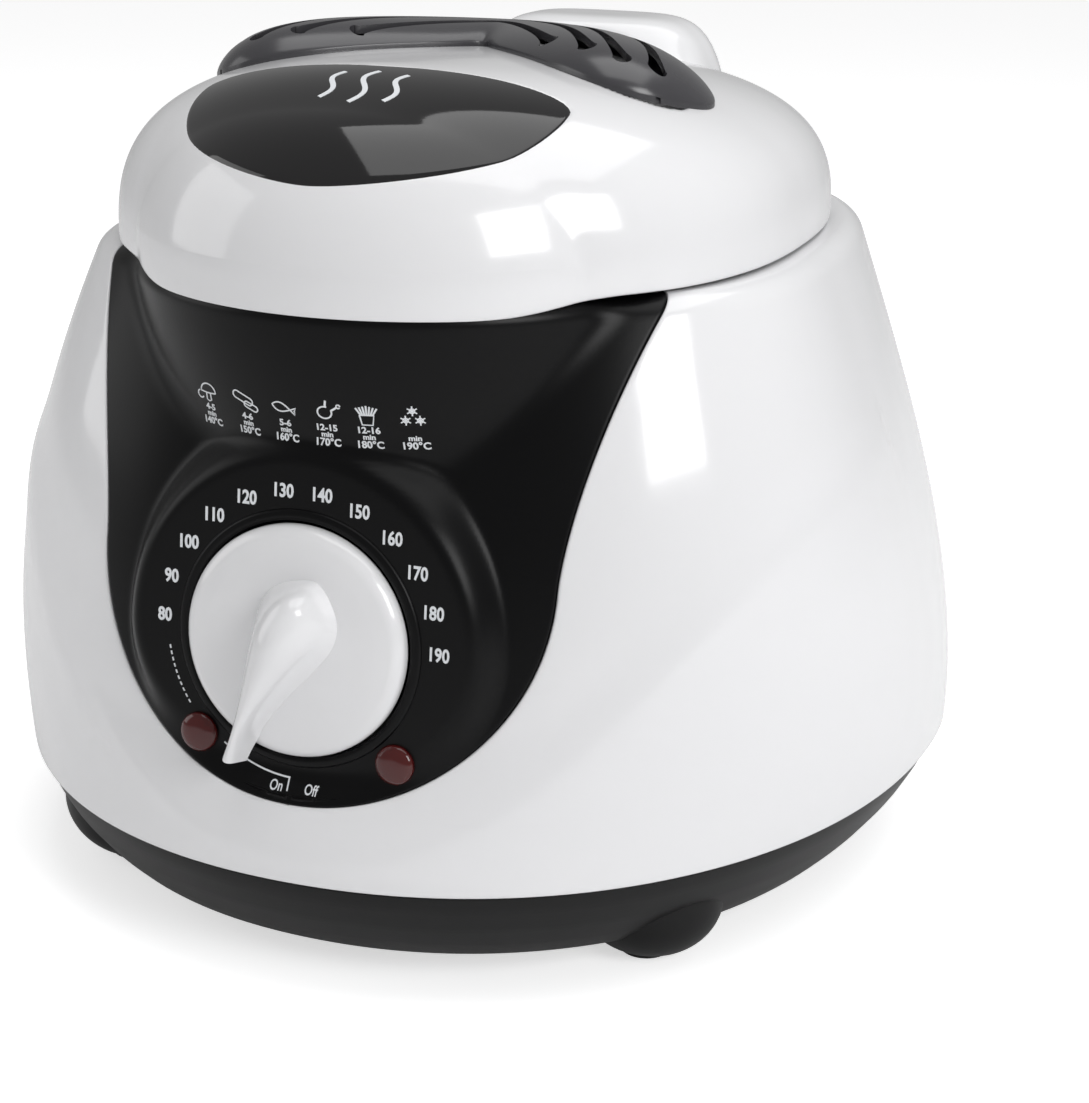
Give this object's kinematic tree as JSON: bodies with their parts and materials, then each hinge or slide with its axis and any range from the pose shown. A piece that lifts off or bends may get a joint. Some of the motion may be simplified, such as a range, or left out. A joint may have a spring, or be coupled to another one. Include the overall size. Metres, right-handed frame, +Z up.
{
  "type": "deep fryer",
  "caption": "Compact round electric deep fryer: moulded housing on a dark base, black dial panel, hinged lid with window and steam vent, inner pot, lift-out wire basket.",
  "frame": {"origin": "centre of the object's bounding box on the worktop, at the underside of the feet", "axes": "+Z up, -Y towards the dial at the front, +X to the user's right when facing the dial"},
  "size_m": [0.3012, 0.3126, 0.2592],
  "materials": {
    "white_plastic": "glossy white moulded polypropylene",
    "black_plastic": "satin black moulded plastic",
    "gloss_black": "high gloss black moulded plastic",
    "dark_plastic": "satin dark grey moulded plastic",
    "rubber": "matte",
    "silicone": "matte translucent silicone",
    "red_lens": "glossy dark red",
    "lamp_glass": "clear",
    "steel": "satin",
    "ceramic": "matte",
    "pot_coating": "dark non-stick coating",
    "filter_wool": "matte filter mat",
    "chrome_wire": "bright plated wire"
  },
  "bodies": {
    "base": {"outer_housing": "white_plastic", "hinge_lug_left": "white_plastic", "hinge_lug_right": "white_plastic", "front_panel": "black_plastic", "base_pan": "dark_plastic", "foot_pad_1": "rubber", "foot_pad_2": "rubber", "foot_pad_3": "rubber", "foot_pad_4": "rubber", "cord_gland": "rubber", "indicator_lens_left": "red_lens", "indicator_lens_right": "red_lens", "neon_lamp_left": "lamp_glass", "neon_lamp_right": "lamp_glass", "base_screw_1": "steel", "base_screw_2": "steel", "base_screw_3": "steel", "base_screw_4": "steel", "heating_element": "steel", "element_clamp": "steel", "heat_shield": "steel", "thermostat_bracket": "steel", "bracket_screw_left": "steel", "bracket_screw_right": "steel", "thermostat_bulb": "steel", "capillary_tube": "steel", "hinge_pin": "steel", "terminal_block": "ceramic", "thermal_cutout": "ceramic", "thermostat_body": "ceramic", "inner_pot": "pot_coating"},
    "lid": {"lid_shell": "white_plastic", "lid_window": "gloss_black", "lid_liner": "steel", "lid_gasket": "silicone", "liner_screw_1": "steel", "liner_screw_2": "steel", "liner_screw_3": "steel", "vent_filter": "filter_wool"},
    "knob": {"knob": "white_plastic", "thermostat_spindle": "steel"},
    "basket": {"basket_mesh": "chrome_wire", "basket_rim": "chrome_wire", "basket_stand": "chrome_wire", "handle_mount": "chrome_wire"},
    "handle": {"handle_frame": "chrome_wire", "handle_grip": "black_plastic"},
    "vent_cover": {"vent_cover": "gloss_black"}
  },
  "joints": [
    {"name": "lid_hinge", "type": "hinge", "parent": "base", "child": "lid", "pos_m": [0, 0.1393, 0.2075], "axis": [-1, 0, 0], "range_deg": [0, 85]},
    {"name": "knob_turn", "type": "hinge", "parent": "base", "child": "knob", "pos_m": [0, -0.1307, 0.10372], "axis": [0, 0.9955, -0.0943], "range_deg": [-32, 244]},
    {"name": "basket_lift", "type": "slide", "parent": "base", "child": "basket", "axis": [0, 0, 1], "range_m": [0, 0.033]},
    {"name": "handle_fold", "type": "hinge", "parent": "basket", "child": "handle", "pos_m": [0, -0.0487, 0.1625], "axis": [1, 0, 0], "range_deg": [0, 95]},
    {"name": "vent_cover_lift", "type": "slide", "parent": "lid", "child": "vent_cover", "axis": [0, 0, 1], "range_m": [0, 0.012]}
  ]
}
